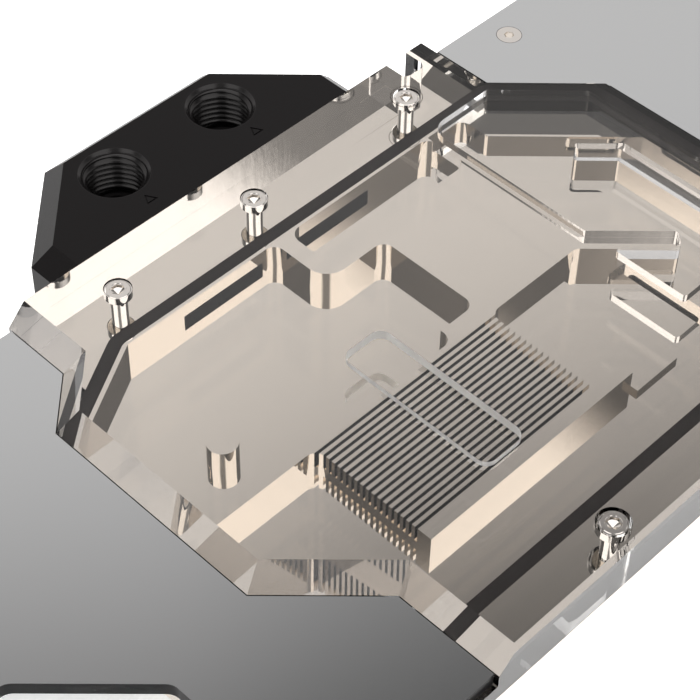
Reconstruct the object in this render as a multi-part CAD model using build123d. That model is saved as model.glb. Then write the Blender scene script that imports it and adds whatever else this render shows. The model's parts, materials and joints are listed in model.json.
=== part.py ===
from build123d import *
import os

os.makedirs("parts", exist_ok=True)

# Frame: the origin is the centre of the face that meets the processor.
# X runs along the card, Y points to the coolant ports and Z points up. Lengths are in mm.

# Levels
PROCESSOR_FACE = 0.0
MEMORY_FACE = -0.2
BOARD_LEVEL = -2.4
PLATE_BOTTOM = 1.5
COIL_RECESS = 3.5
CHANNEL_FLOOR = 6.5
OUTLET_FLOOR = 7.7
PLATE_TOP = 11.5
LEDGE_TOP = 15.1
COVER_TOP = 18.1
TOP_FACE = 22.5

# Outlines
LEFT = -118.0
RIGHT = 137.0
FRONT = -44.0
BACK = 74.0
CORNER_ROUND = 3.0
COPPER_LEFT = -73.0
COPPER_RIGHT = 120.0
OUTSIDE = 5.0
BEVEL = 4.3
COVER_GAP = 0.2
COVER_INSET = 1.0
TOP_CHAMFER = 1.0
CORNER_SLOPE = 0.4142

# Cooling fins
FIN_HALF_LENGTH = 23.75
FIN_SLOTS = 18
FIN_PITCH = 1.43
FIN_SLOT = 0.65
FIN_SLOT_FLOOR = 7.7

# Channels
WALL_ROUND = 2.5
JET_HALF_WIDTH = 5.4
JET_CEILING = 15.5
CAVITY_CEILING = 18.0
PILLAR_RADIUS = 3.1
PILLAR_AT = (-34.65, 26.25)

# Seal round the channels
SEAL_WIDTH = 2.8
SEAL_FLOOR = 9.3
SEAL_ROUND = 4.0
SEAL_PATH = [(-32.25, 58.4), (-57, 44.3), (-57, -13), (-39.25, -30.75),
             (71.5, -30.75), (88.75, -13.5), (88.75, 41.65), (72, 58.4)]

# Ducts between the channels and the terminal
INLET = (-17.0, 4.0)
OUTLET = (13.75, 34.0)
DUCT_TOP_INSIDE = 8.5
DUCT_BOTTOM = 5.0
DUCT_TOP = 8.5
DUCT_WALL = 56.0
DUCT_STEP = 61.0
DUCT_SEAL_GAP = 0.6
DUCT_SEAL_WIDTH = 1.8
DUCT_SEAL_DEPTH = 1.4

# Terminal and its ports
PORTS = [(-5.75, 89), (23.25, 89)]
TERMINAL_BEVEL = 4.4
TERMINAL_LEFT = -32.25
TERMINAL_RIGHT = 49.75
TERMINAL_BACK = 102.75
TERMINAL_CORNER = 83.5
PORT_RIM = 7.35
PORT_LEAD_IN = 6.8
PORT_LEAD_IN_FLOOR = 20.0
PORT_THREAD = 6.58
PORT_THREAD_FLOOR = 11.5
PORT_BORE = 5.0
FLOW_MARKS = [(-5.75, 78.25), (23.25, 78.25)]
FLOW_MARK_RADIUS = 1.7
FLOW_MARK_DEPTH = 0.3

# Screws: places and sizes
TOP_SCREWS = [(-26.5, 64), (9.25, 64), (53.25, 64), (-2.25, -38.5), (38, -38.5), (78, -38.5)]
LEDGE_SCREWS = [(-64, 50), (-64, 15), (-64, -25), (76, 64), (97, 50), (97, 15), (97, -25)]
COVER_SCREWS = [(-62, 66), (-112, 66), (-112, -38), (-66, -38),
                (88.25, 66), (131, 66), (131, -38), (104, -38)]
SCREW_RADIUS = 1.45
SCREW_THREAD = 1.5
SCREW_CLEARANCE = 1.7
HEAD_RADIUS = 2.7
HEAD_HEIGHT = 2.8
HEAD_SINK = 0.3
COUNTERBORE = 3.3
SCREW_END = 7.8
FLAT_HEAD = 2.75
FLAT_HEAD_HEIGHT = 1.3
COVER_SCREW_END = 12.5
SOCKET_RADIUS = 1.45
SOCKET_DEPTH = 1.4
TERMINAL_SCREWS = [-26.5, 8.9, 40.5]
TERMINAL_SCREW_LEVEL = 6.0
TERMINAL_SCREW_SEAT = 80.0
TERMINAL_SCREW_END = 67.0
TERMINAL_SCREW_RADIUS = 2.0
TERMINAL_HEAD = 3.5
TERMINAL_HEAD_HEIGHT = 4.0
TERMINAL_SOCKET = 1.7

# Standoffs
PROCESSOR_HOLES = 58.4
BOARD_HOLES = [(-66, -36), (-66, 66), (112, 66), (112, -36)]
STANDOFF_RADIUS = 2.75
STANDOFF_STUD = 1.25
STANDOFF_STUD_LENGTH = 2.5
STANDOFF_HOLE = 1.05
STANDOFF_HOLE_DEPTH = 3.4


def slab(points, bottom, top, radius=0):
    """A flat piece with this outline between two levels."""
    face = Polygon(*points, align=None)
    if radius:
        face = fillet(face.vertices(), radius)
    return Pos(0, 0, bottom) * extrude(face, top - bottom, dir=(0, 0, 1))


def block(x0, x1, y0, y1, bottom, top, radius=0):
    """A rectangular block from its sides and levels."""
    return slab([(x0, y0), (x1, y0), (x1, y1), (x0, y1)], bottom, top, radius)


def rod(x, y, radius, bottom, top):
    """An upright cylinder."""
    return Pos(x, y, (bottom + top) / 2) * Cylinder(radius, top - bottom)


def cone(x, y, low_radius, high_radius, bottom, top):
    """An upright cone."""
    return Pos(x, y, (bottom + top) / 2) * Cone(low_radius, high_radius, top - bottom)


def lying_rod(x, z, radius, front, back):
    """A cylinder along Y."""
    return Pos(x, (front + back) / 2, z) * Rot(90, 0, 0) * Cylinder(radius, back - front)


def hexagon(x, y, radius, bottom, top):
    """An upright six-sided hole."""
    face = RegularPolygon(radius, 6)
    return Pos(x, y, bottom) * extrude(face, top - bottom, dir=(0, 0, 1))


def sloped(low_points, high_points, bottom, top):
    """A piece whose outline changes in straight lines from one level to another."""
    low = Pos(0, 0, bottom) * Polygon(*low_points, align=None)
    high = Pos(0, 0, top) * Polygon(*high_points, align=None)
    return loft([low, high], ruled=True)


def left_region(shift):
    """The ledge area on the left, its edge moved to the left by the shift."""
    rise = CORNER_SLOPE * shift
    edge = [(-41.25 - shift, BACK + OUTSIDE), (-41.25 - shift, 56 + rise)]
    edge += [(-51.5 - shift, 45.75 + rise), (-51.5 - shift, -1 - rise)]
    edge += [(-33.25 - shift, -19.25 - rise), (-33.25 - shift, FRONT - OUTSIDE)]
    return edge + [(LEFT - OUTSIDE, FRONT - OUTSIDE), (LEFT - OUTSIDE, BACK + OUTSIDE)]


def right_region(shift):
    """The ledge area on the right, its edge moved to the right by the shift."""
    rise = CORNER_SLOPE * shift
    edge = [(68.25 + shift, BACK + OUTSIDE), (68.25 + shift, 55.75 + rise)]
    edge += [(86.5 + shift, 37.5 + rise), (86.5 + shift, FRONT - OUTSIDE)]
    return edge + [(RIGHT + OUTSIDE, FRONT - OUTSIDE), (RIGHT + OUTSIDE, BACK + OUTSIDE)]


def ledge_cut(region):
    """The space over a ledge: bevelled beside the island, upright beside the cover plate."""
    bevel = sloped(region(BEVEL), region(0), COVER_TOP, TOP_FACE)
    return bevel + slab(region(BEVEL), LEDGE_TOP, COVER_TOP)


def ring(path, width, bottom, top, corner):
    """A closed cord of rectangular section along a path."""
    middle = fillet(Polygon(*path, align=None).vertices(), corner)
    outer = offset(middle, width / 2)
    inner = offset(middle, -width / 2)
    return Pos(0, 0, bottom) * extrude(outer - inner, top - bottom, dir=(0, 0, 1))


def inlet_pocket():
    """The pocket that leads from the inlet duct to the place under the jet slot."""
    outline = [(-31.25, 56.25), (-52.5, 44.15), (-52.5, 17), (23.45, 17)]
    outline += [(23.45, 41.55), (7.35, 41.55), (7.35, 56.25)]
    face = Polygon(*outline, align=None)
    soft = face.vertices().filter_by(lambda v: (v.X, v.Y) != (7.35, 41.55) and v.X != -31.25)
    face = fillet(soft, WALL_ROUND)
    bend = face.vertices().sort_by_distance((7.35, 41.55))[0]
    face = fillet(bend, 5)
    pocket = Pos(0, 0, CHANNEL_FLOOR) * extrude(face, PLATE_TOP - CHANNEL_FLOOR, dir=(0, 0, 1))
    bay = block(-11.25, 13.75, 13.75, 24, CHANNEL_FLOOR, PLATE_TOP, WALL_ROUND)
    return pocket + bay - rod(*PILLAR_AT, PILLAR_RADIUS, CHANNEL_FLOOR, PLATE_TOP)


def outlet_pocket():
    """The pocket that leads to the outlet duct."""
    return block(11.25, 57.75, 45.25, 56.25, CHANNEL_FLOOR, PLATE_TOP, 3)


def lower_pocket():
    """The pocket left of the fins, and the channel that runs below them to the right."""
    outline = [(-52.5, 13), (-52.5, -12.5), (-37.25, -27.75), (70.25, -27.75), (84.75, -13.25)]
    outline += [(84.75, -12), (80.75, -12), (80.75, -14), (71, -14), (43.75, 13.25)]
    outline += [(43.75, -17.5), (31.75, -17.5), (31.75, -15.75)]
    outline += [(-FIN_HALF_LENGTH, -15.75), (-FIN_HALF_LENGTH, 13)]
    face = Polygon(*outline, align=None)
    corner = face.vertices().sort_by_distance((-FIN_HALF_LENGTH, 13))[0]
    face = fillet(corner, WALL_ROUND)
    return Pos(0, 0, CHANNEL_FLOOR) * extrude(face, PLATE_TOP - CHANNEL_FLOOR, dir=(0, 0, 1))


def fin_outlet_pocket():
    """The pocket right of the fins, with a slightly higher floor."""
    outline = [(FIN_HALF_LENGTH, 13.25), (43.75, 13.25), (43.75, -17.5)]
    outline += [(31.75, -17.5), (31.75, -12.9), (FIN_HALF_LENGTH, -12.9)]
    face = Polygon(*outline, align=None)
    face = fillet(face.vertices().sort_by_distance((FIN_HALF_LENGTH, 13.25))[0], WALL_ROUND)
    return Pos(0, 0, OUTLET_FLOOR) * extrude(face, PLATE_TOP - OUTLET_FLOOR, dir=(0, 0, 1))


def power_pocket():
    """The pocket at the right, with a rib that turns the flow round."""
    outline = [(61.75, 55.25), (84.75, 32.25), (84.75, -13.25), (80.75, -13.25)]
    outline += [(77.75, -12.25), (61.75, 3.75)]
    pocket = slab(outline, CHANNEL_FLOOR, PLATE_TOP)
    return pocket - slab(rib_outline(), CHANNEL_FLOOR, PLATE_TOP, 0.8)


def rib_outline():
    """The rib in the pocket at the right, in the plate and in the acrylic."""
    return [(69.25, 32.75), (77.75, 24.25), (77.75, -14), (80.75, -14), (80.75, 25.5), (71.4, 34.9)]


def fin_slots():
    """The narrow slots between the cooling fins."""
    first = -(FIN_SLOTS - 1) / 2 * FIN_PITCH
    slots = []
    for number in range(FIN_SLOTS):
        y = first + number * FIN_PITCH
        ends = FIN_HALF_LENGTH + WALL_ROUND
        slots.append(block(-ends, ends, y - FIN_SLOT / 2, y + FIN_SLOT / 2, FIN_SLOT_FLOOR, PLATE_TOP))
    return slots


def plate_duct(sides):
    """A duct from a pocket wall under the seal groove to the plate's edge."""
    mouth = block(*sides, DUCT_WALL, DUCT_STEP + 1, CHANNEL_FLOOR, DUCT_TOP_INSIDE)
    return mouth + block(*sides, DUCT_STEP, BACK + 1, DUCT_BOTTOM, DUCT_TOP)


def cold_plate():
    """The nickel-plated copper plate, machined as one piece."""
    outline = [(COPPER_LEFT, FRONT), (COPPER_RIGHT, FRONT), (COPPER_RIGHT, BACK), (COPPER_LEFT, BACK)]
    plate = slab(outline, PLATE_BOTTOM, PLATE_TOP, CORNER_ROUND)
    plate += block(-19, 19, -19, 19, PROCESSOR_FACE, PLATE_BOTTOM)
    for x in (-31, 31):
        plate += block(x - 7, x + 7, -20, 20, MEMORY_FACE, PLATE_BOTTOM)
    for y in (-31, 31):
        plate += block(-20, 20, y - 7, y + 7, MEMORY_FACE, PLATE_BOTTOM)
    for x in (-58, 66):
        plate += block(x - 4, x + 4, -24, 50, PROCESSOR_FACE, PLATE_BOTTOM)
    for x in (-48, 53):
        plate -= block(x - 4.5, x + 4.5, -24, 50, PLATE_BOTTOM, COIL_RECESS)
    plate -= inlet_pocket()
    plate -= outlet_pocket()
    plate -= lower_pocket()
    plate -= fin_outlet_pocket()
    plate -= power_pocket()
    plate -= fin_slots()
    plate -= ring(SEAL_PATH, SEAL_WIDTH, SEAL_FLOOR, PLATE_TOP, SEAL_ROUND)
    plate -= [plate_duct(INLET), plate_duct(OUTLET)]
    for x, y in TOP_SCREWS + LEDGE_SCREWS:
        plate -= rod(x, y, SCREW_THREAD, SCREW_END - 0.5, PLATE_TOP)
    for x in TERMINAL_SCREWS:
        plate -= lying_rod(x, TERMINAL_SCREW_LEVEL, TERMINAL_SCREW_RADIUS + 0.05, TERMINAL_SCREW_END - 0.5, BACK)
    for x, y in processor_holes() + BOARD_HOLES:
        plate -= rod(x, y, STANDOFF_STUD + 0.05, PLATE_BOTTOM, PLATE_BOTTOM + STANDOFF_STUD_LENGTH + 0.3)
    return plate


def acrylic_top():
    """The clear top, one piece with its raised island and the two ledges."""
    outline = [(LEFT, FRONT), (RIGHT, FRONT), (RIGHT, BACK), (LEFT, BACK)]
    top = slab(outline, PLATE_TOP, TOP_FACE, CORNER_ROUND)
    top -= ledge_cut(left_region)
    top -= ledge_cut(right_region)
    front_edge = top.edges().filter_by(Axis.X).group_by(Axis.Z)[-1].group_by(Axis.Y)[0]
    top = chamfer(front_edge, TOP_CHAMFER)
    notch = [(57.5, 68.25), (63.5, 68.25), (63.5, BACK + OUTSIDE), (57.5, BACK + OUTSIDE)]
    top -= slab(notch, PLATE_TOP, TOP_FACE, 1.5)
    top -= block(-JET_HALF_WIDTH, JET_HALF_WIDTH, -12.25, 25, PLATE_TOP, JET_CEILING, WALL_ROUND)
    cavity = [(51.25, 55.5), (51.25, 14.25), (77.75, -12.25), (84.5, -12.25), (84.5, 41), (70, 55.5)]
    rib = slab(rib_outline(), PLATE_TOP, CAVITY_CEILING, 0.8)
    top -= slab(cavity, PLATE_TOP, CAVITY_CEILING, WALL_ROUND) - rib
    lower = [(51.25, 7.75), (51.25, -13), (72, -13)]
    top -= slab(lower, PLATE_TOP, CAVITY_CEILING, 1.5)
    for x, y in TOP_SCREWS:
        top -= rod(x, y, SCREW_CLEARANCE, PLATE_TOP, TOP_FACE)
        top -= rod(x, y, COUNTERBORE, TOP_FACE - HEAD_SINK - HEAD_HEIGHT, TOP_FACE)
    for x, y in LEDGE_SCREWS:
        top -= rod(x, y, SCREW_CLEARANCE, PLATE_TOP, LEDGE_TOP)
        top -= rod(x, y, FLAT_HEAD + 0.1, LEDGE_TOP - HEAD_SINK - FLAT_HEAD_HEIGHT, LEDGE_TOP)
    for x, y in COVER_SCREWS:
        top -= rod(x, y, SCREW_THREAD, COVER_SCREW_END - 0.3, LEDGE_TOP)
    return top


def cover_plate(region, window):
    """A cover plate on one of the ledges."""
    sides = [LEFT + COVER_INSET, RIGHT - COVER_INSET, FRONT + COVER_INSET, BACK - COVER_INSET]
    plate = slab(region(BEVEL + COVER_GAP), LEDGE_TOP, COVER_TOP)
    plate &= block(*sides, LEDGE_TOP, COVER_TOP, CORNER_ROUND)
    if window:
        plate -= slab(window, LEDGE_TOP, COVER_TOP, 3)
    for x, y in COVER_SCREWS:
        plate -= rod(x, y, SCREW_CLEARANCE, LEDGE_TOP, COVER_TOP)
        plate -= rod(x, y, FLAT_HEAD + 0.1, COVER_TOP - FLAT_HEAD_HEIGHT, COVER_TOP)
    return plate


def terminal_outline(inset):
    """The terminal's outline, drawn in on every side but the one at the acrylic."""
    step = inset * CORNER_SLOPE
    cut = TERMINAL_BACK - TERMINAL_CORNER
    left = [(TERMINAL_LEFT + inset, BACK), (TERMINAL_LEFT + inset, TERMINAL_CORNER - step)]
    left += [(TERMINAL_LEFT + cut + step, TERMINAL_BACK - inset)]
    right = [(TERMINAL_RIGHT - cut - step, TERMINAL_BACK - inset)]
    right += [(TERMINAL_RIGHT - inset, TERMINAL_CORNER - step), (TERMINAL_RIGHT - inset, BACK)]
    return left + right


def duct_seal_path(sides):
    """The middle line of an oval seal, as X and Z."""
    reach = DUCT_SEAL_GAP + DUCT_SEAL_WIDTH / 2
    low = DUCT_BOTTOM - reach
    high = DUCT_TOP + reach
    return [(sides[0] - reach, low), (sides[1] + reach, low), (sides[1] + reach, high), (sides[0] - reach, high)]


def duct_seal(sides):
    """An oval seal round a duct, in the terminal's face."""
    flat = ring(duct_seal_path(sides), DUCT_SEAL_WIDTH, 0, DUCT_SEAL_DEPTH, 2.5)
    return Pos(0, BACK + DUCT_SEAL_DEPTH, 0) * Rot(90, 0, 0) * flat


def terminal_block():
    """The black block with the two coolant ports."""
    body = slab(terminal_outline(0), PLATE_BOTTOM, COVER_TOP)
    body += sloped(terminal_outline(0), terminal_outline(TERMINAL_BEVEL), COVER_TOP, TOP_FACE)
    rim = PORT_RIM - PORT_LEAD_IN
    for (x, y), sides in zip(PORTS, (INLET, OUTLET)):
        body -= cone(x, y, PORT_LEAD_IN, PORT_RIM, TOP_FACE - rim, TOP_FACE)
        body -= rod(x, y, PORT_LEAD_IN, PORT_LEAD_IN_FLOOR, TOP_FACE - rim)
        body -= rod(x, y, PORT_THREAD, PORT_THREAD_FLOOR, PORT_LEAD_IN_FLOOR)
        body -= rod(x, y, PORT_BORE, DUCT_BOTTOM, PORT_THREAD_FLOOR)
        body -= block(*sides, BACK, y, DUCT_BOTTOM, DUCT_TOP)
        body -= duct_seal(sides)
    for x, y in FLOW_MARKS:
        mark = Pos(x, y, TOP_FACE - FLOW_MARK_DEPTH) * Rot(0, 0, 90) * RegularPolygon(FLOW_MARK_RADIUS, 3)
        body -= extrude(mark, FLOW_MARK_DEPTH, dir=(0, 0, 1))
    for x in TERMINAL_SCREWS:
        body -= lying_rod(x, TERMINAL_SCREW_LEVEL, TERMINAL_SCREW_RADIUS + 0.2, BACK, TERMINAL_SCREW_SEAT)
        body -= lying_rod(x, TERMINAL_SCREW_LEVEL, TERMINAL_HEAD + 0.2, TERMINAL_SCREW_SEAT, TERMINAL_BACK)
    return body


def top_screw(x, y):
    """A socket-head screw from the island into the plate."""
    top = TOP_FACE - HEAD_SINK
    head = rod(x, y, HEAD_RADIUS, top - HEAD_HEIGHT, top)
    screw = head + rod(x, y, SCREW_RADIUS, SCREW_END, top - HEAD_HEIGHT)
    return screw - hexagon(x, y, SOCKET_RADIUS, top - SOCKET_DEPTH, top)


def flat_screw(x, y, top, end):
    """A low flat-head screw."""
    head = rod(x, y, FLAT_HEAD, top - FLAT_HEAD_HEIGHT, top)
    screw = head + rod(x, y, SCREW_RADIUS, end, top - FLAT_HEAD_HEIGHT)
    return screw - hexagon(x, y, SOCKET_RADIUS * 0.8, top - FLAT_HEAD_HEIGHT * 0.7, top)


def terminal_screw(x):
    """A cap screw that holds the terminal to the plate's edge."""
    head_end = TERMINAL_SCREW_SEAT + TERMINAL_HEAD_HEIGHT
    screw = lying_rod(x, TERMINAL_SCREW_LEVEL, TERMINAL_HEAD, TERMINAL_SCREW_SEAT, head_end)
    screw += lying_rod(x, TERMINAL_SCREW_LEVEL, TERMINAL_SCREW_RADIUS, TERMINAL_SCREW_END, TERMINAL_SCREW_SEAT)
    socket = Rot(90, 0, 0) * hexagon(0, 0, TERMINAL_SOCKET, 0, 2.2)
    return screw - Pos(x, head_end, TERMINAL_SCREW_LEVEL) * socket


def processor_holes():
    """The four screw places round the processor."""
    reach = PROCESSOR_HOLES / 2
    return [(-reach, -reach), (reach, -reach), (reach, reach), (-reach, reach)]


def standoff(x, y):
    """A standoff with a stud in the plate and a threaded hole for the board's screw."""
    body = rod(x, y, STANDOFF_RADIUS, BOARD_LEVEL, PLATE_BOTTOM)
    body += rod(x, y, STANDOFF_STUD, PLATE_BOTTOM, PLATE_BOTTOM + STANDOFF_STUD_LENGTH)
    return body - rod(x, y, STANDOFF_HOLE, BOARD_LEVEL, BOARD_LEVEL + STANDOFF_HOLE_DEPTH)


WINDOW = [(-76.65, -7.25), (-96.25, 12.35), (-110, 12.35), (-110, -34), (-76.65, -34)]

export_step(cold_plate(), "parts/cold_plate.step")
export_step(acrylic_top(), "parts/acrylic_top.step")
export_step(cover_plate(left_region, WINDOW), "parts/cover_plate_left.step")
export_step(cover_plate(right_region, None), "parts/cover_plate_right.step")
export_step(terminal_block(), "parts/terminal_block.step")
export_step(ring(SEAL_PATH, SEAL_WIDTH, SEAL_FLOOR, PLATE_TOP, SEAL_ROUND), "parts/main_seal.step")
export_step(Compound(children=[duct_seal(INLET), duct_seal(OUTLET)]), "parts/duct_seals.step")
export_step(Compound(children=[top_screw(x, y) for x, y in TOP_SCREWS]), "parts/top_screws.step")

ledge_set = [flat_screw(x, y, LEDGE_TOP - HEAD_SINK, SCREW_END) for x, y in LEDGE_SCREWS]
export_step(Compound(children=ledge_set), "parts/ledge_screws.step")
cover_set = [flat_screw(x, y, COVER_TOP, COVER_SCREW_END) for x, y in COVER_SCREWS]
export_step(Compound(children=cover_set), "parts/cover_screws.step")
export_step(Compound(children=[terminal_screw(x) for x in TERMINAL_SCREWS]), "parts/terminal_screws.step")
export_step(Compound(children=[standoff(x, y) for x, y in processor_holes()]), "parts/processor_standoffs.step")
export_step(Compound(children=[standoff(x, y) for x, y in BOARD_HOLES]), "parts/board_standoffs.step")
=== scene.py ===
import json
import math

import bmesh
import bpy
from mathutils import Matrix, Vector

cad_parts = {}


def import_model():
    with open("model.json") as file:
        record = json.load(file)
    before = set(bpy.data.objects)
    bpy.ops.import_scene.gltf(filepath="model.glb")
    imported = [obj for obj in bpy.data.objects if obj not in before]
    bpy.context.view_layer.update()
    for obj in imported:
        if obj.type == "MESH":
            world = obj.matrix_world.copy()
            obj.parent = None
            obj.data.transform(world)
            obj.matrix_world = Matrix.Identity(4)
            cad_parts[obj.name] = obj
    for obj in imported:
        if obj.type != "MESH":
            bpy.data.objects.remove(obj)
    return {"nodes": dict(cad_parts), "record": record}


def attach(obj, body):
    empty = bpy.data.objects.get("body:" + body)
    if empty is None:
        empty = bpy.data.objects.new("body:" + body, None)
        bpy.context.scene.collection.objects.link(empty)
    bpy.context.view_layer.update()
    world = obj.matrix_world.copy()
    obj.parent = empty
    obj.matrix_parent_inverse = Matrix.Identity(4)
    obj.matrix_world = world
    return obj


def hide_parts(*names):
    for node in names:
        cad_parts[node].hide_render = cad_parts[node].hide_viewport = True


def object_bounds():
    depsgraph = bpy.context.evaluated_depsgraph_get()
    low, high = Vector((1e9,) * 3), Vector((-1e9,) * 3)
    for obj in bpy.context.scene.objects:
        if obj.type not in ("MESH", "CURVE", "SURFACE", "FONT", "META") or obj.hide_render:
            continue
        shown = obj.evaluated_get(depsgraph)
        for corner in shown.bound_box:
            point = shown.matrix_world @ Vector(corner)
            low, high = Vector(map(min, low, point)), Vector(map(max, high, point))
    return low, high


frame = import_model()
CAD_LOW, CAD_HIGH = [list(corner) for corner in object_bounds()]
NODES = frame["nodes"]

MM = 0.001

# Camera: place and turn worked out from the photograph's straight edges
CAMERA_PLACE = Vector((-190.95, -155.25, 303.5)) * MM
CAMERA_FORWARD = Vector((0.48609, 0.46587, -0.73938)).normalized()
CAMERA_ROLL = math.radians(1.261)
CAMERA_LENS = 105.22
SENSOR_WIDTH = 36.0

# Floor
FLOOR_GAP = 0.02 * MM
FLOOR_REACH = 3.0

# Coolant ports. A profile's point is radius and Z. A ridge's point is how far in it
# stands and how far along the pitch, both as shares.
PORTS = [(-5.75 * MM, 89 * MM), (23.25 * MM, 89 * MM)]
THREAD_WALL = 6.58 * MM
THREAD_PITCH = 1.337 * MM
THREAD_HEIGHT = 0.82 * MM
THREAD_BOTTOM = 11.7 * MM
THREAD_TOP = 21.6 * MM
THREAD_STEPS = 72
THREAD_EASE = 24
PORT_RIM = 7.35 * MM
PORT_FACE = 22.5 * MM
COLLAR = [(6.58 * MM, 21.2 * MM), (6.58 * MM, 21.73 * MM), (6.9 * MM, 22.05 * MM)]
RIDGE = [(0.0, -0.5), (0.45, -0.2), (1.0, -0.06), (1.0, 0.06), (0.45, 0.2), (0.0, 0.5)]

# From here to the room, shapes are in millimetres.
# Channels at the right. An outline's point is X, Y and, where its corner is rounded,
# the radius. A fill closes the node's own channel before the new one is cut.
JOINT = 11.5
CHANNEL_FLOOR = 6.5
POWER_FLOOR = 8.7
CAVITY_CEILING = 14.8
CAVITY_FILL_TOP = 18.6
FLOOR_OVERLAP = 0.6
RIB_OVERLAP = 0.2
CUT_PAST = 1
RIB = [
    (69.8, 31.3, 0.9), (76.4, 24.7, 0.9), (76.4, -4, 0.9),
    (78.5, -4, 0.9), (78.5, 25.2, 0.9), (71.1, 32.6, 0.9)]
CAVITY = [
    (52.8, 56.6, 4), (52.8, 14.2, 0.9), (66.1, 0.9, 0.9), (62.85, -2.35, 0.9),
    (52.8, 7.7, 0.9), (52.8, -11.3, 0.9), (85.9, -11.3, 0.9), (85.9, 41.2, 0.9),
    (70.5, 56.6, 0.9)]
CAVITY_FILL = [(50.4, 56.4), (50.4, -13.8), (85.4, -13.8), (85.4, 41.4), (70.4, 56.4)]
POWER_POCKET = [
    (51.8, 56.25), (51.8, 15.2), (66.3, 0.7, 0.9), (63.95, -1.65, 0.9), (56, 6.3),
    (56, -27.75), (70.25, -27.75), (85.9, -12.1), (85.9, 25.7), (62.5, 49.1, 1.5),
    (62.5, 56.25, 2)]
LOWER_POCKET = [
    (43.7, -27.75), (56.5, -27.75), (56.5, 5.8), (49.05, 13.25, 2.5), (43.7, 13.25)]
OUTLET_END = [(40, 45.25), (52.2, 45.25, 3), (52.2, 56.25, 3), (40, 56.25)]
POCKET_FILL = [
    (44.2, -28.2), (70.6, -28.2), (85.4, -13.4), (85.4, 41.6), (70.4, 56.6),
    (48.5, 56.6), (48.5, 30), (44.2, 30)]

# Jet slot over the fins
JET_FILL = [(-5.8, -12.7), (5.8, -12.7), (5.8, 25.4), (-5.8, 25.4)]
JET_CEILING = 13.6
JET_FILL_TOP = 16.0

# Top screws, the three at the back first
TOP_SCREWS = [
    (-26.5, 64), (9.25, 64), (53.25, 64), (-2.25, -38.5), (38, -38.5), (78, -38.5)]
BACK_SCREWS = TOP_SCREWS[:3]
HEAD_SEAT = 19.4
TOP_FACE = 22.5
BORE_FILL = 3.42
BORE = 2.8
BORE_END = 23.0
HEAD_RINGS = [
    [(1.5, 22.15), (1.62, 22.3), (2.35, 22.3), (2.72, 22.02)],
    [(0.1, 20.85), (1.3, 21.5)]]
ROUND_STEPS = 48
CORNER_STEPS = 8
SHARP_ANGLE = math.radians(25)

# Flow marks on the terminal
FLOW_MARKS = [(-5.75, 78.25), (23.25, 78.25)]
MARK_RADIUS = 1.05
MARK_BOTTOM = 22.15

# The clear top's milled walls: those under MILLED_TOP and within a half size of the
# centre, on X and Y
MILLED_TOP = 18.2
MILLED_CENTRE = (16, 15)
MILLED_HALF = (70, 43)
JET_NEAR = 5.7

# Gap of air round the clear top, and how much larger the pressed seal is, in metres
AIR_GAP = -0.02 * MM
SEAL_PRESS = 0.04 * MM

# Room: brightness of its parts
PALE = 0.755
DIM = 0.11
DIM_SIDE = 0.26
PANEL = 1.5

# Room: azimuths, from +X towards +Y, and heights above the horizon, in degrees
PALE_CENTRE = 57
PALE_HALF = 5.0
PALE_LEAN = 0.33
PALE_FALL = (46.3, 64.3)
EDGE_CENTRE = 51
EDGE_TOP = 88.4
EDGE_LEAN = 0.46
EDGE_SOFT = 1.8
DIM_TURN = (85, 100)
CORNER_FROM = 100.0
CORNER_DROP = (141, 145)
CORNER_HIGH = 54.5
CORNER_LOW = 42.0
CAMERA_SIDE = -137
CAMERA_SHADE = (11, 26)
CAMERA_SHADE_TOP = (56, 66)


def add(tree, kind, inputs=None, **settings):
    """Adds a shader node with its settings and inputs."""
    made = tree.nodes.new(kind)
    for name, value in settings.items():
        setattr(made, name, value)
    for name, value in (inputs or {}).items():
        if isinstance(value, bpy.types.NodeSocket):
            tree.links.new(value, made.inputs[name])
        else:
            made.inputs[name].default_value = value
    return made


def new_material(name):
    """An empty node material, its tree and its output."""
    material = bpy.data.materials.new(name)
    material.use_nodes = True
    material.node_tree.nodes.clear()
    output = material.node_tree.nodes.new("ShaderNodeOutputMaterial")
    return material, material.node_tree, output


def math_node(tree, operation, first, second=0.0):
    """A Math node's result."""
    return add(tree, "ShaderNodeMath", {0: first, 1: second}, operation=operation).outputs[0]


def times(tree, *values):
    """The product of two or more values."""
    product = values[0]
    for value in values[1:]:
        product = math_node(tree, "MULTIPLY", product, value)
    return product


def highest(tree, *values):
    """The highest of two or more values."""
    top = values[0]
    for value in values[1:]:
        top = math_node(tree, "MAXIMUM", top, value)
    return top


def within(tree, value, centre, half):
    """1 where a value lies less than a half size from the centre, and 0 elsewhere."""
    away = math_node(tree, "ABSOLUTE", math_node(tree, "SUBTRACT", value, centre))
    return math_node(tree, "LESS_THAN", away, half)


def spread(tree, value, low, high):
    """Takes a value from 0 to 1 to the range from low to high."""
    made = add(tree, "ShaderNodeMapRange", {"Value": value, "To Min": low, "To Max": high})
    return made.outputs["Result"]


def step(tree, value, low, high):
    """0 below low, 1 above high and smooth between."""
    made = add(tree, "ShaderNodeMapRange", {
        "Value": value, "From Min": low, "From Max": high}, interpolation_type="SMOOTHSTEP")
    return made.outputs["Result"]


def blend(tree, factor, first, second):
    """The first value at factor 0, the second at factor 1."""
    return add(tree, "ShaderNodeMix", {0: factor, 2: first, 3: second}).outputs[0]


def place(tree):
    """The point on the object as a vector, and as X, Y and Z, in metres."""
    coordinate = tree.nodes.new("ShaderNodeTexCoord")
    split = add(tree, "ShaderNodeSeparateXYZ", {0: coordinate.outputs["Object"]})
    return coordinate.outputs["Object"], split.outputs


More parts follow.
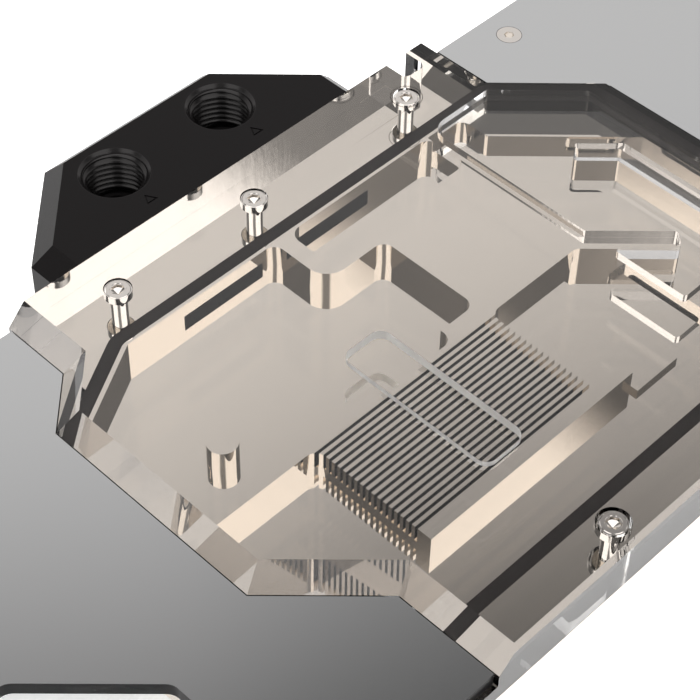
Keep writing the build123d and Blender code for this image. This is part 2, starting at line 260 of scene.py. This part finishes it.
def slope(tree):
    """How level the surface is: 1 where it lies flat, 0 where it stands upright."""
    coordinate = tree.nodes.new("ShaderNodeTexCoord")
    normal = add(tree, "ShaderNodeSeparateXYZ", {0: coordinate.outputs["Normal"]}).outputs
    return math_node(tree, "ABSOLUTE", normal[2])


def noise(tree, vector, scale, stretch=(1, 1, 1), detail=3.0):
    """Noise over the surface, with its own stretch."""
    mapping = add(tree, "ShaderNodeMapping", {"Vector": vector, "Scale": stretch})
    made = add(tree, "ShaderNodeTexNoise", {
        "Vector": mapping.outputs[0], "Scale": scale, "Detail": detail})
    return made.outputs["Fac"]


def bump(tree, height, strength, distance):
    """A bump's normal."""
    return add(tree, "ShaderNodeBump", {
        "Height": height, "Strength": strength, "Distance": distance}).outputs[0]


def nickel_plate():
    """Polished nickel plating with faint milling marks."""
    material, tree, output = new_material("nickel_plate")
    vector, _ = place(tree)
    marks = noise(tree, vector, 900, (0.06, 1, 1))
    wear = noise(tree, vector, 120)
    shader = add(tree, "ShaderNodeBsdfPrincipled", {
        "Base Color": (0.81, 0.75, 0.68, 1), "Metallic": 1.0,
        "Roughness": spread(tree, wear, 0.021, 0.042),
        "Normal": bump(tree, marks, 0.10, 0.00002)})
    tree.links.new(shader.outputs[0], output.inputs["Surface"])
    return material


def clear_acrylic():
    """Clear acrylic: polished outside, milled walls underneath, frosted at the jet slot."""
    material, tree, output = new_material("clear_acrylic")
    vector, at = place(tree)
    upright = math_node(tree, "LESS_THAN", slope(tree), 0.5)
    milled = times(
        tree, upright, math_node(tree, "LESS_THAN", at[2], MILLED_TOP * MM),
        within(tree, at[0], MILLED_CENTRE[0] * MM, MILLED_HALF[0] * MM),
        within(tree, at[1], MILLED_CENTRE[1] * MM, MILLED_HALF[1] * MM))
    near_jet = within(tree, at[0], 0.0, JET_NEAR * MM)
    frost = times(tree, milled, near_jet, 0.75)
    walls = times(tree, milled, blend(tree, near_jet, 0.07, 0.4))
    marks = times(tree, noise(tree, vector, 500, (1, 1, 0.15)), upright)
    shader = add(tree, "ShaderNodeBsdfPrincipled", {
        "Base Color": (0.985, 0.99, 0.99, 1), "IOR": 1.49,
        "Roughness": highest(tree, walls, times(tree, upright, 0.035)),
        "Transmission Weight": math_node(tree, "SUBTRACT", 1.0, frost),
        "Normal": bump(tree, marks, 0.25, 0.00005)})
    tree.links.new(shader.outputs[0], output.inputs["Surface"])
    return material


def cover_steel():
    """Smooth steel on top, black satin on the sides."""
    material, tree, output = new_material("cover_steel")
    vector, _ = place(tree)
    grain = noise(tree, vector, 2500, detail=2.0)
    steel = add(tree, "ShaderNodeBsdfPrincipled", {
        "Base Color": (0.66, 0.68, 0.69, 1), "Metallic": 1.0,
        "Roughness": spread(tree, grain, 0.10, 0.17),
        "Normal": bump(tree, grain, 0.06, 0.00001)})
    black = add(tree, "ShaderNodeBsdfPrincipled", {
        "Base Color": (0.006, 0.006, 0.0065, 1), "Roughness": 0.3,
        "Specular IOR Level": 0.12, "Normal": bump(tree, grain, 0.2, 0.00002)})
    top = step(tree, slope(tree), 0.6, 0.8)
    mix = add(tree, "ShaderNodeMixShader", {0: top, 1: black.outputs[0], 2: steel.outputs[0]})
    tree.links.new(mix.outputs[0], output.inputs["Surface"])
    return material


def black_acetal():
    """Satin black acetal with a fine grain, turned smooth inside the ports."""
    material, tree, output = new_material("black_acetal")
    vector, at = place(tree)
    grain = noise(tree, vector, 3000)
    spans = []
    for x, y in PORTS:
        axis = add(tree, "ShaderNodeCombineXYZ", {0: x, 1: y, 2: at[2]}).outputs[0]
        away = add(tree, "ShaderNodeVectorMath", {0: vector, 1: axis}, operation="DISTANCE")
        spans.append(away.outputs["Value"])
    inside = math_node(
        tree, "LESS_THAN", math_node(tree, "MINIMUM", *spans), PORT_RIM + 0.05 * MM)
    shader = add(tree, "ShaderNodeBsdfPrincipled", {
        "Base Color": (0.006, 0.0055, 0.0056, 1),
        "Roughness": blend(tree, inside, spread(tree, grain, 0.30, 0.42), 0.2),
        "Specular IOR Level": blend(tree, inside, 0.09, 0.4),
        "Normal": bump(tree, grain, 0.25, 0.00003)})
    tree.links.new(shader.outputs[0], output.inputs["Surface"])
    return material


def seal_rubber():
    """Black rubber."""
    material, tree, output = new_material("seal_rubber")
    vector, _ = place(tree)
    grain = noise(tree, vector, 1500)
    shader = add(tree, "ShaderNodeBsdfPrincipled", {
        "Base Color": (0.018, 0.015, 0.014, 1), "Roughness": 0.6, "Specular IOR Level": 0.1,
        "Normal": bump(tree, grain, 0.3, 0.00003)})
    tree.links.new(shader.outputs[0], output.inputs["Surface"])
    return material


def screw_nickel():
    """Nickel-plated steel, with fine threads on the shanks."""
    material, tree, output = new_material("screw_nickel")
    vector, at = place(tree)
    pitch = 0.5 * MM
    shank_top = 16.5 * MM
    threads = math_node(tree, "SINE", times(tree, at[2], 2 * math.pi / pitch))
    ridges = times(tree, threads, math_node(tree, "LESS_THAN", at[2], shank_top))
    wear = noise(tree, vector, 800)
    shader = add(tree, "ShaderNodeBsdfPrincipled", {
        "Base Color": (0.82, 0.79, 0.75, 1), "Metallic": 1.0,
        "Roughness": spread(tree, wear, 0.10, 0.18),
        "Normal": bump(tree, ridges, 0.5, 0.00006)})
    tree.links.new(shader.outputs[0], output.inputs["Surface"])
    return material


def standoff_brass():
    """Turned brass."""
    material, tree, output = new_material("standoff_brass")
    vector, _ = place(tree)
    rings = noise(tree, vector, 900, (0.1, 0.1, 1))
    shader = add(tree, "ShaderNodeBsdfPrincipled", {
        "Base Color": (0.75, 0.58, 0.31, 1), "Metallic": 1.0, "Roughness": 0.28,
        "Normal": bump(tree, rings, 0.3, 0.00003)})
    tree.links.new(shader.outputs[0], output.inputs["Surface"])
    return material


MATERIALS = {
    "nickel_plate": nickel_plate(),
    "clear_acrylic": clear_acrylic(),
    "cover_steel": cover_steel(),
    "black_acetal": black_acetal(),
    "seal_rubber": seal_rubber(),
    "screw_nickel": screw_nickel(),
    "standoff_brass": standoff_brass(),
}


def dress_nodes():
    """Gives each CAD node the material of its slot."""
    for entry in frame["record"]["subparts"]:
        node = NODES[entry["node"]]
        node.data.materials.clear()
        node.data.materials.append(MATERIALS[entry["material_slot"]])


def linked(name, data):
    """A new object in the scene."""
    made = bpy.data.objects.new(name, data)
    bpy.context.collection.objects.link(made)
    return made


def smooth(mesh):
    """Smooth shading, with the sharp edges kept."""
    mesh.polygons.foreach_set("use_smooth", [True] * len(mesh.polygons))
    mesh.set_sharp_from_angle(angle=SHARP_ANGLE)


def rounded(outline):
    """The outline's points, its corners rounded where a radius is given."""
    points = []
    for number, corner in enumerate(outline):
        here = Vector(corner[:2])
        if len(corner) < 3:
            points.append(here)
            continue
        radius = corner[2]
        before = (Vector(outline[number - 1][:2]) - here).normalized()
        after = (Vector(outline[(number + 1) % len(outline)][:2]) - here).normalized()
        half = before.angle(after) / 2
        middle = here + (before + after).normalized() * radius / math.sin(half)
        first = here + before * radius / math.tan(half) - middle
        last = here + after * radius / math.tan(half) - middle
        for stop in range(CORNER_STEPS + 1):
            spoke = first.lerp(last, stop / CORNER_STEPS)
            points.append(middle + spoke.normalized() * radius)
    return points


def circle(x, y, radius, corners=ROUND_STEPS, start=0.0):
    """A regular outline round a point."""
    turns = [start + 2 * math.pi * number / corners for number in range(corners)]
    return [(x + radius * math.cos(turn), y + radius * math.sin(turn)) for turn in turns]


def prism(name, outline, bottom, top):
    """An upright solid over an outline, given in millimetres."""
    made = bmesh.new()
    base = [made.verts.new((*(point * MM), bottom * MM)) for point in rounded(outline)]
    face = made.faces.new(base)
    grown = bmesh.ops.extrude_face_region(made, geom=[face])["geom"]
    raised = [part for part in grown if isinstance(part, bmesh.types.BMVert)]
    bmesh.ops.translate(made, verts=raised, vec=(0, 0, (top - bottom) * MM))
    bmesh.ops.recalc_face_normals(made, faces=made.faces)
    mesh = bpy.data.meshes.new(name)
    made.to_mesh(mesh)
    made.free()
    return linked(name, mesh)


def weld(mesh):
    """Drops the stored normals and joins the points that share a place."""
    stored = mesh.attributes.get("custom_normal")
    if stored:
        mesh.attributes.remove(stored)
    made = bmesh.new()
    made.from_mesh(mesh)
    bmesh.ops.remove_doubles(made, verts=made.verts, dist=0.001 * MM)
    made.to_mesh(mesh)
    made.free()


def recut(name, node_name, steps):
    """A piece in place of a node: the node's form, filled and cut again by prisms."""
    node = NODES[node_name]
    draft = linked("draft", node.data.copy())
    weld(draft.data)
    prisms = []
    for operation, outline, bottom, top in steps:
        prisms.append(prism("prism", outline, bottom, top))
        cut = draft.modifiers.new(operation, "BOOLEAN")
        cut.operation = operation
        cut.object = prisms[-1]
        cut.solver = "EXACT"
    shaped = draft.evaluated_get(bpy.context.evaluated_depsgraph_get())
    mesh = bpy.data.meshes.new_from_object(shaped)
    smooth(mesh)
    piece = linked(name, mesh)
    for spare in [draft, *prisms]:
        bpy.data.objects.remove(spare)
    finish = node.data.materials[0]
    mesh.materials.clear()
    mesh.materials.append(finish)
    even = piece.modifiers.new("Even shading", "WEIGHTED_NORMAL")
    even.mode = "FACE_AREA"
    even.keep_sharp = True
    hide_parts(node_name)
    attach(piece, "root")
    return piece


def grow(piece, name, distance):
    """Moves a piece's surface out, or in where the distance is negative."""
    made = piece.modifiers.new(name, "DISPLACE")
    made.strength = distance
    made.mid_level = 0.0


def channels():
    """The plate and the clear top, their right-hand channels as photographed, and the seal."""
    plate = recut("cold_plate_channels", "cold_plate", [
        ("UNION", POCKET_FILL, CHANNEL_FLOOR - FLOOR_OVERLAP, JOINT),
        ("DIFFERENCE", LOWER_POCKET, CHANNEL_FLOOR, JOINT + CUT_PAST),
        ("DIFFERENCE", POWER_POCKET, POWER_FLOOR, JOINT + CUT_PAST),
        ("DIFFERENCE", OUTLET_END, CHANNEL_FLOOR, JOINT + CUT_PAST),
        ("UNION", RIB, POWER_FLOOR - RIB_OVERLAP, JOINT)])
    fills = [("UNION", circle(x, y, BORE_FILL), HEAD_SEAT, TOP_FACE) for x, y in BACK_SCREWS]
    bores = [("DIFFERENCE", circle(x, y, BORE), HEAD_SEAT, BORE_END) for x, y in BACK_SCREWS]
    top = recut("acrylic_top_channels", "acrylic_top", [
        ("UNION", CAVITY_FILL, JOINT, CAVITY_FILL_TOP),
        ("DIFFERENCE", CAVITY, JOINT - CUT_PAST, CAVITY_CEILING),
        ("UNION", RIB, JOINT, CAVITY_CEILING + RIB_OVERLAP),
        ("UNION", JET_FILL, JET_CEILING, JET_FILL_TOP),
        *fills, *bores])
    grow(top, "Air gap", AIR_GAP)
    seal = recut("main_seal_pressed", "main_seal", [])
    grow(seal, "Pressed", SEAL_PRESS)


def turned_point(x, y, radius, z, angle):
    """A point on a circle round an upright axis."""
    return x + radius * math.cos(angle), y + radius * math.sin(angle), z


def add_ridges(vertices, faces, centre):
    """Adds one port's thread ridges to a mesh's lists."""
    turns = (THREAD_TOP - THREAD_BOTTOM) / THREAD_PITCH
    count = int(turns * THREAD_STEPS)
    base = len(vertices)
    for number in range(count + 1):
        angle = 2 * math.pi * number / THREAD_STEPS
        middle = THREAD_BOTTOM + THREAD_PITCH * number / THREAD_STEPS
        ease = min(1.0, number / THREAD_EASE, (count - number) / THREAD_EASE)
        for inward, along in RIDGE:
            radius = THREAD_WALL - THREAD_HEIGHT * inward * ease
            z = middle + along * THREAD_PITCH
            z = min(max(z, THREAD_BOTTOM - 0.1 * MM), THREAD_TOP)
            radius = min(max(radius, PORT_RIM - PORT_FACE + z), THREAD_WALL)
            vertices.append(turned_point(*centre, radius, z, angle))
    wide = len(RIDGE)
    for number in range(count):
        for side in range(wide - 1):
            first = base + number * wide + side
            faces.append((first, first + 1, first + wide + 1, first + wide))


def add_turned(vertices, faces, centre, profile, steps):
    """Adds a profile turned round an upright axis to a mesh's lists."""
    base = len(vertices)
    wide = len(profile)
    for number in range(steps):
        angle = 2 * math.pi * number / steps
        for radius, z in profile:
            vertices.append(turned_point(*centre, radius, z, angle))
    for number in range(steps):
        for side in range(wide - 1):
            low = base + number * wide + side
            high = base + (number + 1) % steps * wide + side
            faces.append((low, high, high + 1, low + 1))


def port_threads():
    """The ridges of the threads in both ports, and the collars over them."""
    vertices = []
    faces = []
    for centre in PORTS:
        add_ridges(vertices, faces, centre)
        add_turned(vertices, faces, centre, COLLAR, THREAD_STEPS)
    mesh = bpy.data.meshes.new("port_threads")
    mesh.from_pydata(vertices, [], faces)
    mesh.polygons.foreach_set("use_smooth", [True] * len(mesh.polygons))
    mesh.materials.append(MATERIALS["black_acetal"])
    threads = linked("port_threads", mesh)
    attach(threads, "root")


def screw_heads():
    """The bevelled ring on each top screw's head and the cone in its socket."""
    vertices = []
    faces = []
    for x, y in TOP_SCREWS:
        for ring in HEAD_RINGS:
            profile = [(radius * MM, z * MM) for radius, z in ring]
            add_turned(vertices, faces, (x * MM, y * MM), profile, ROUND_STEPS)
    mesh = bpy.data.meshes.new("screw_heads")
    mesh.from_pydata(vertices, [], faces)
    smooth(mesh)
    mesh.materials.append(MATERIALS["screw_nickel"])
    heads = linked("screw_heads", mesh)
    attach(heads, "root")


def flow_marks():
    """The middles of the terminal's two marks, which leave each as an outline."""
    for number, (x, y) in enumerate(FLOW_MARKS, 1):
        outline = circle(x, y, MARK_RADIUS, corners=3, start=math.radians(90))
        middle = prism(f"flow_mark_{number}", outline, MARK_BOTTOM, TOP_FACE)
        middle.data.materials.append(MATERIALS["black_acetal"])
        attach(middle, "root")


def floor_material():
    """White floor that keeps the object's shadow."""
    material, tree, output = new_material("floor_white")
    path = tree.nodes.new("ShaderNodeLightPath").outputs
    seen = highest(
        tree, path["Is Glossy Ray"], path["Is Transmission Ray"], path["Is Camera Ray"])
    vector, _ = place(tree)
    tone = spread(tree, noise(tree, vector, 40), 0.78, 0.8)
    diffuse = add(tree, "ShaderNodeBsdfDiffuse", {"Color": tone, "Roughness": 0.5})
    glow = add(tree, "ShaderNodeEmission", {
        "Color": (1, 1, 1, 1), "Strength": times(tree, seen, 0.6)})
    both = add(tree, "ShaderNodeAddShader", {0: diffuse.outputs[0], 1: glow.outputs[0]})
    tree.links.new(both.outputs[0], output.inputs["Surface"])
    return material


def studio():
    """The floor."""
    z = CAD_LOW[2] - FLOOR_GAP
    corners = [(x * FLOOR_REACH, y * FLOOR_REACH, z) for x, y in ((-1, -1), (1, -1), (1, 1), (-1, 1))]
    mesh = bpy.data.meshes.new("floor")
    mesh.from_pydata(corners, [], [(0, 1, 2, 3)])
    mesh.materials.append(floor_material())
    floor = linked("floor", mesh)


def angle_from(tree, way, azimuth):
    """How far a direction turns away from an azimuth, in degrees from 0 to 180."""
    flat = add(tree, "ShaderNodeCombineXYZ", {0: way[0], 1: way[1]}).outputs[0]
    unit = add(tree, "ShaderNodeVectorMath", {0: flat}, operation="NORMALIZE").outputs[0]
    axis = (math.cos(math.radians(azimuth)), math.sin(math.radians(azimuth)), 0)
    dot = add(tree, "ShaderNodeVectorMath", {0: unit, 1: axis}, operation="DOT_PRODUCT")
    return times(tree, math_node(tree, "ARCCOSINE", dot.outputs["Value"]), math.degrees(1))


def panel_edge(tree, way, turned):
    """The height above which the panels start: a sloping line with a drop at the right."""
    line = math_node(tree, "SUBTRACT", EDGE_TOP, times(tree, turned, EDGE_LEAN))
    azimuth = times(tree, math_node(tree, "ARCTAN2", way[1], way[0]), math.degrees(1))
    corner = blend(
        tree, step(tree, azimuth, *CORNER_DROP),
        math_node(tree, "MAXIMUM", line, CORNER_HIGH),
        math_node(tree, "MINIMUM", line, CORNER_LOW))
    return blend(tree, math_node(tree, "GREATER_THAN", azimuth, CORNER_FROM), line, corner)


def world():
    """The room: pale ahead, bright panels over and beside it, dim between and at the camera."""
    made = bpy.data.worlds.new("room")
    bpy.context.scene.world = made
    made.use_nodes = True
    tree = made.node_tree
    tree.nodes.clear()
    output = tree.nodes.new("ShaderNodeOutputWorld")
    coordinate = tree.nodes.new("ShaderNodeTexCoord")
    way = add(tree, "ShaderNodeSeparateXYZ", {0: coordinate.outputs["Generated"]}).outputs
    height = times(tree, math_node(tree, "ARCSINE", way[2]), math.degrees(1))

    turned = angle_from(tree, way, EDGE_CENTRE)
    dim = blend(tree, step(tree, turned, *DIM_TURN), DIM, DIM_SIDE)
    off_centre = math_node(tree, "SUBTRACT", angle_from(tree, way, PALE_CENTRE), PALE_HALF)
    leaning = times(tree, highest(tree, off_centre, 0.0), PALE_LEAN)
    fall = math_node(tree, "ADD", height, leaning)
    pale = blend(tree, step(tree, fall, *PALE_FALL), PALE, dim)

    over_edge = math_node(tree, "SUBTRACT", height, panel_edge(tree, way, turned))
    above = step(tree, over_edge, -EDGE_SOFT, EDGE_SOFT)
    beside_camera = step(tree, angle_from(tree, way, CAMERA_SIDE), *CAMERA_SHADE)
    over_camera = step(tree, height, *CAMERA_SHADE_TOP)
    panels = times(tree, above, highest(tree, beside_camera, over_camera))
    level = blend(tree, panels, pale, PANEL)

    room = add(tree, "ShaderNodeBackground", {"Color": (1.0, 0.965, 0.95, 1), "Strength": level})
    white = add(tree, "ShaderNodeBackground", {"Color": (1, 1, 1, 1), "Strength": 1.0})
    path = tree.nodes.new("ShaderNodeLightPath").outputs
    mix = add(tree, "ShaderNodeMixShader", {
        0: path["Is Camera Ray"], 1: room.outputs[0], 2: white.outputs[0]})
    tree.links.new(mix.outputs[0], output.inputs["Surface"])


def lamp():
    """A soft lamp over the object, left out of its mirror images."""
    key = bpy.data.lights.new("key", "AREA")
    key.shape = "DISK"
    key.size = 0.5
    key.energy = 9.0
    made = linked("key", key)
    spot = Vector((0.05, 0.1, 0.9))
    target = Vector((0.0, 0.02, 0.0))
    made.location = spot
    made.rotation_euler = (target - spot).to_track_quat("-Z", "Y").to_euler()
    made.visible_glossy = False


def camera():
    """The camera at the photograph's place, turn and lens."""
    lens = bpy.data.cameras.new("camera")
    lens.lens = CAMERA_LENS
    lens.sensor_width = SENSOR_WIDTH
    lens.clip_start = 0.01
    lens.clip_end = 20.0
    made = linked("camera", lens)
    right = CAMERA_FORWARD.cross(Vector((0, 0, 1))).normalized()
    up = right.cross(CAMERA_FORWARD).normalized()
    cosine, sine = math.cos(CAMERA_ROLL), math.sin(CAMERA_ROLL)
    axes = [cosine * right + sine * up, cosine * up - sine * right, -CAMERA_FORWARD]
    turn = Matrix(axes).transposed().to_4x4()
    made.matrix_world = Matrix.Translation(CAMERA_PLACE) @ turn
    bpy.context.scene.camera = made


dress_nodes()
channels()
port_threads()
screw_heads()
flow_marks()
studio()
world()
lamp()
camera()
bpy.context.scene.view_settings.view_transform = "Standard"
